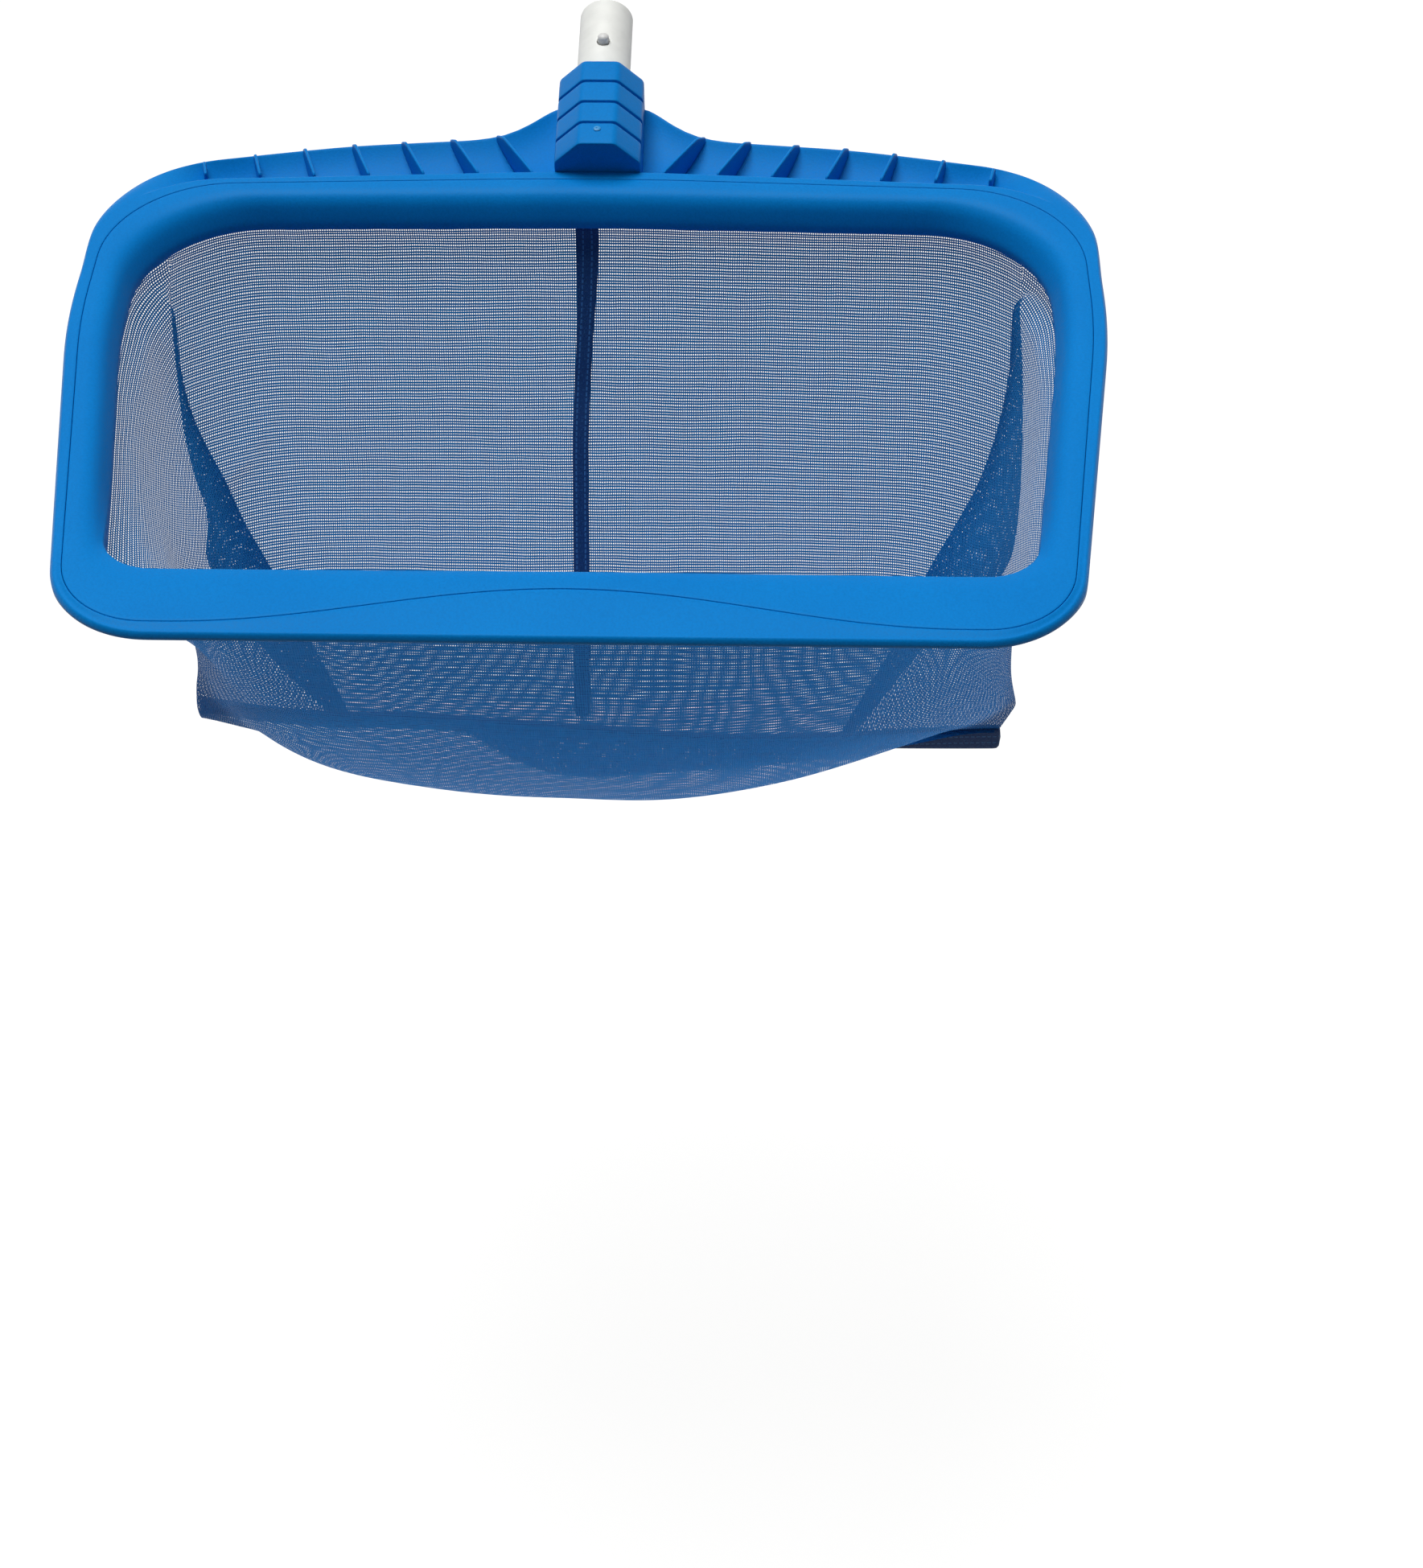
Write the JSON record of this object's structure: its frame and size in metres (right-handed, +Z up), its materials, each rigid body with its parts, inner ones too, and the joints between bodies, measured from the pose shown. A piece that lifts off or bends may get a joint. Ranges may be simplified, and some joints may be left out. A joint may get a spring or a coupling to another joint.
{
  "type": "leaf skimmer net",
  "caption": "Deep-bag leaf skimmer head: rigid scooping hoop with a ribbed handle flange, octagonal pole socket, snap-button tube stub and a pleated net bag.",
  "frame": {"origin": "on the tube stub's axis at the socket's rear face, where a pole pushed over the stub stops", "axes": "+X across the hoop's width, +Y from the scooping lip towards the pole, +Z up out of the bag's mouth; the rim is level and the stub rises 7 degrees along +Y"},
  "size_m": [0.5138, 0.4761, 0.2859],
  "materials": {
    "blue_moulding": "satin moulded polypropylene with a fine even grain",
    "tube": "off-white coated aluminium, satin",
    "spring_steel": "bare spring steel strip",
    "button": "light grey moulded button",
    "rivet": "painted blind rivet",
    "net": "fine open-mesh knitted polyester net, see-through",
    "binding": "folded navy seam tape, stitched"
  },
  "bodies": {
    "head": {"frame_hoop": "blue_moulding", "flange_left": "blue_moulding", "flange_right": "blue_moulding", "rib_left_1": "blue_moulding", "rib_left_2": "blue_moulding", "rib_left_3": "blue_moulding", "rib_left_4": "blue_moulding", "rib_left_5": "blue_moulding", "rib_left_6": "blue_moulding", "rib_left_7": "blue_moulding", "rib_right_1": "blue_moulding", "rib_right_2": "blue_moulding", "rib_right_3": "blue_moulding", "rib_right_4": "blue_moulding", "rib_right_5": "blue_moulding", "rib_right_6": "blue_moulding", "rib_right_7": "blue_moulding", "socket": "blue_moulding", "socket_cradle": "blue_moulding", "clamp_ring": "blue_moulding", "hem_cord": "binding", "hem_band": "net", "stub_tube": "tube", "socket_rivet": "rivet", "clip_bow": "spring_steel", "bag_back_left": "net", "bag_back_right": "net", "bag_front": "net", "bag_side_left": "net", "bag_side_right": "net", "bag_pleat_left": "net", "bag_pleat_right": "net", "tape_back": "binding", "bottom_strip": "binding"},
    "snap_top": {"clip_leg_top": "spring_steel", "button_top": "button"},
    "snap_bottom": {"clip_leg_bottom": "spring_steel", "button_bottom": "button"}
  },
  "joints": [
    {"name": "snap_top_press", "type": "hinge", "parent": "head", "child": "snap_top", "pos_m": [0, -0.01528, 0.00961], "axis": [-1, 0, 0], "range_deg": [0, 6.5], "stiffness_Nm_per_rad": 0.9, "springref_deg": -6.88},
    {"name": "snap_bottom_press", "type": "hinge", "parent": "head", "child": "snap_bottom", "pos_m": [0, -0.01251, -0.01302], "axis": [1, 0, 0], "range_deg": [0, 6.5], "stiffness_Nm_per_rad": 0.9, "springref_deg": -6.88}
  ]
}
